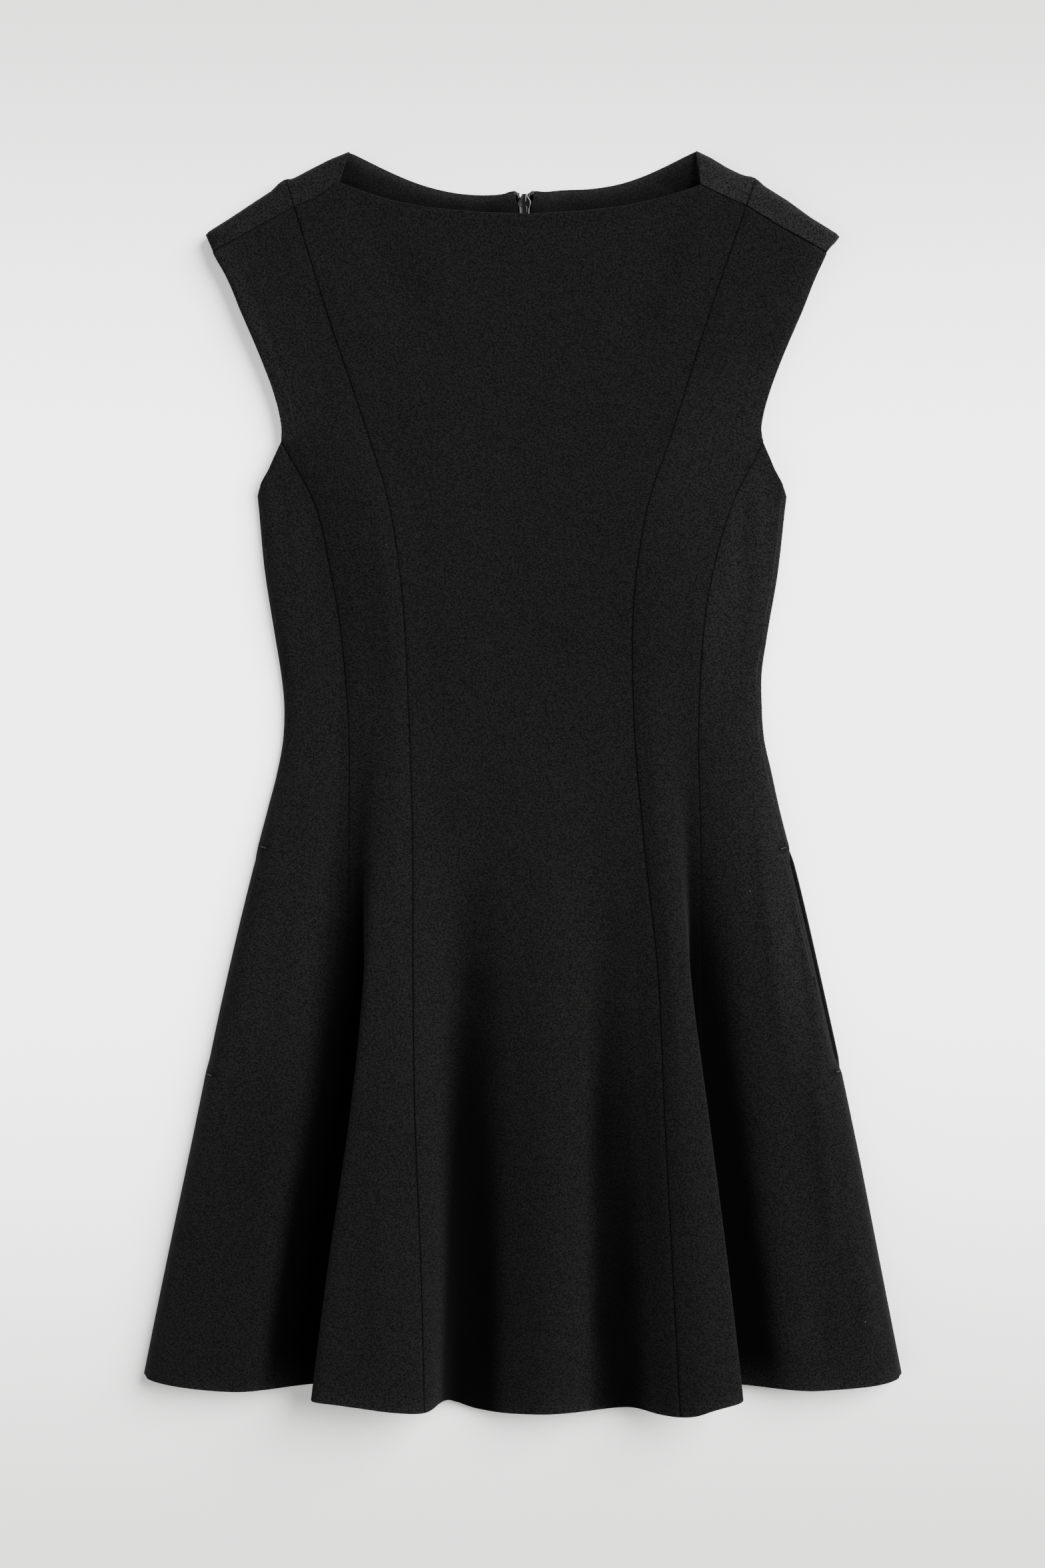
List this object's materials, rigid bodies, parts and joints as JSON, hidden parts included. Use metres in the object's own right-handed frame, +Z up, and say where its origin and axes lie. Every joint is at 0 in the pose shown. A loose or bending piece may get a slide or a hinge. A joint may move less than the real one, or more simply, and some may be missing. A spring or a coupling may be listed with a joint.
{
  "type": "flared mini dress",
  "caption": "Black wool sleeveless fit-and-flare mini dress with a boat neck, princess seams, side pockets and a back zip, laid flat front up.",
  "frame": {"origin": "centre of the laid dress's outline, on the surface that it lies on", "axes": "+Y from the hem to the neck, +X to the viewer's right as the front is seen, +Z up out of the surface"},
  "size_m": [0.5404, 0.8939, 0.0425],
  "materials": {
    "black_wool": "felted wool twill, matte black with a short nap",
    "black_facing": "thinner wool of the neck facing, matte black",
    "black_pocketing": "smooth black pocket lining",
    "black_zip_tape": "woven black zip tape",
    "dark_nickel": "dark plated zip slider and stops, half gloss"
  },
  "bodies": {
    "dress": {"front_centre": "black_wool", "front_side_left": "black_wool", "front_side_right": "black_wool", "side_panel_left": "black_wool", "side_panel_right": "black_wool", "back_centre_left": "black_wool", "back_centre_right": "black_wool", "back_side_left": "black_wool", "back_side_right": "black_wool", "neck_facing_left": "black_facing", "neck_facing_right": "black_facing", "zip_tape_left": "black_zip_tape", "zip_tape_right": "black_zip_tape", "zip_stop_left": "dark_nickel", "zip_stop_right": "dark_nickel", "zip_slider": "dark_nickel", "pocket_bag_left": "black_pocketing", "pocket_bag_right": "black_pocketing"},
    "pull": {"zip_pull": "dark_nickel"}
  },
  "joints": [
    {"name": "pull_hinge", "type": "hinge", "parent": "dress", "child": "pull", "pos_m": [0.0004, 0.407, 0.0024], "axis": [1, 0, 0], "range_deg": [0, 165]}
  ]
}
